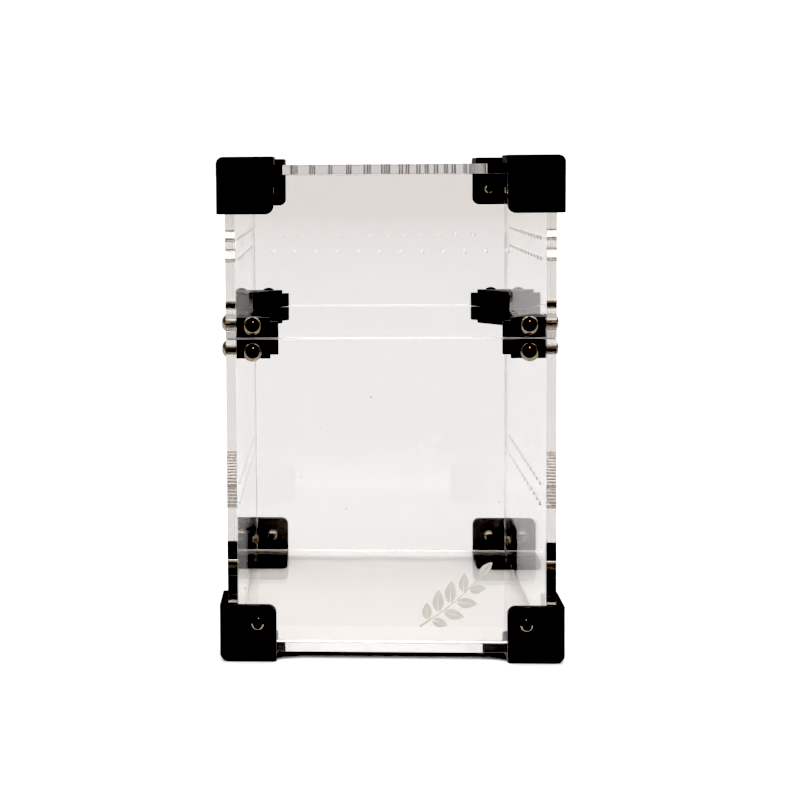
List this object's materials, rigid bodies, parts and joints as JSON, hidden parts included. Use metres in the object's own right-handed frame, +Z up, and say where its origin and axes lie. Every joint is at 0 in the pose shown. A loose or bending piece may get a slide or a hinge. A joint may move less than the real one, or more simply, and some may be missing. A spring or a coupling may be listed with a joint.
{
  "type": "insect enclosure",
  "caption": "Upright clear acrylic insect enclosure with black corner brackets, rows of air holes and a lift-off lid section held by corner magnets.",
  "frame": {"origin": "centre of the footprint, on the surface that the four lower corner brackets stand on", "axes": "+X to the right, +Y from the front to the back, +Z up"},
  "size_m": [0.105, 0.105, 0.1544],
  "materials": {
    "clear_acrylic": "clear, polished cut edges",
    "black_plastic": "satin black printed plastic",
    "bronzed_steel": "dark bronzed button-head screws",
    "nickel_plate": "nickel-plated magnets"
  },
  "bodies": {
    "lower_section": {"bottom_back_left_bracket": "black_plastic", "bottom_back_right_bracket": "black_plastic", "bottom_front_left_bracket": "black_plastic", "bottom_front_right_bracket": "black_plastic", "floor_panel": "clear_acrylic", "lower_back_left_magnet": "nickel_plate", "lower_back_left_magnet_block": "black_plastic", "lower_back_right_magnet": "nickel_plate", "lower_back_right_magnet_block": "black_plastic", "lower_back_wall": "clear_acrylic", "lower_block_screws": "bronzed_steel", "lower_bracket_screws": "bronzed_steel", "lower_front_left_magnet": "nickel_plate", "lower_front_left_magnet_block": "black_plastic", "lower_front_right_magnet": "nickel_plate", "lower_front_right_magnet_block": "black_plastic", "lower_front_wall": "clear_acrylic", "lower_left_wall": "clear_acrylic", "lower_right_wall": "clear_acrylic"},
    "lid_section": {"roof_panel": "clear_acrylic", "top_back_left_bracket": "black_plastic", "top_back_right_bracket": "black_plastic", "top_front_left_bracket": "black_plastic", "top_front_right_bracket": "black_plastic", "upper_back_left_magnet": "nickel_plate", "upper_back_left_magnet_block": "black_plastic", "upper_back_right_magnet": "nickel_plate", "upper_back_right_magnet_block": "black_plastic", "upper_back_wall": "clear_acrylic", "upper_block_screws": "bronzed_steel", "upper_bracket_screws": "bronzed_steel", "upper_front_left_magnet": "nickel_plate", "upper_front_left_magnet_block": "black_plastic", "upper_front_right_magnet": "nickel_plate", "upper_front_right_magnet_block": "black_plastic", "upper_front_wall": "clear_acrylic", "upper_left_wall": "clear_acrylic", "upper_right_wall": "clear_acrylic"}
  },
  "joints": [
    {"name": "lid_lift", "type": "slide", "parent": "lower_section", "child": "lid_section", "axis": [0, 0, 1], "range_m": [0, 0.08]}
  ]
}
